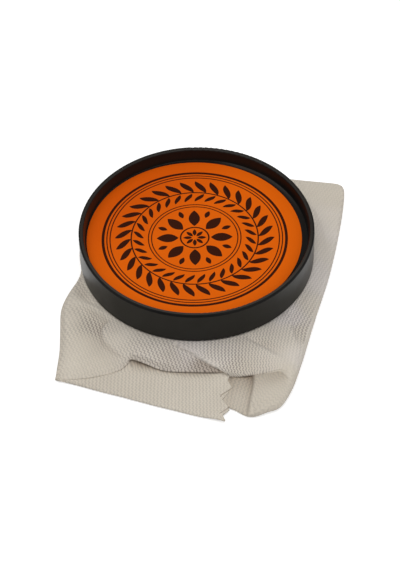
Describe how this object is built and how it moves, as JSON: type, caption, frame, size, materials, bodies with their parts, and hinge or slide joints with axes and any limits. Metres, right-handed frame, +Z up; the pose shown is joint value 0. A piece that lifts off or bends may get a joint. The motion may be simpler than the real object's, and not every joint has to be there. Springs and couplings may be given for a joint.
{
  "type": "rosin cake",
  "caption": "Round black holder with a printed label disc, a cast amber rosin cake underneath, resting on its folded knit cloth.",
  "frame": {"origin": "on the holder's axis, at the surface that the folded cloth rests on", "axes": "+Z up along the holder's axis, out of the labelled side; -Y towards the front of the folded parcel, where the cloth's pinked edge shows; +X to the right of that front"},
  "size_m": [0.0756, 0.0893, 0.0132],
  "materials": {
    "holder_plastic": "satin",
    "label_paper": "satin",
    "rosin": "gloss",
    "cloth": "matte"
  },
  "bodies": {
    "cloth": {"wrapping_cloth": "cloth"},
    "cake": {"holder": "holder_plastic", "label": "label_paper", "rosin_cake": "rosin"}
  },
  "joints": [
    {"name": "lift_off", "type": "slide", "parent": "cloth", "child": "cake", "axis": [0, 0, 1], "range_m": [0, 0.06]}
  ]
}
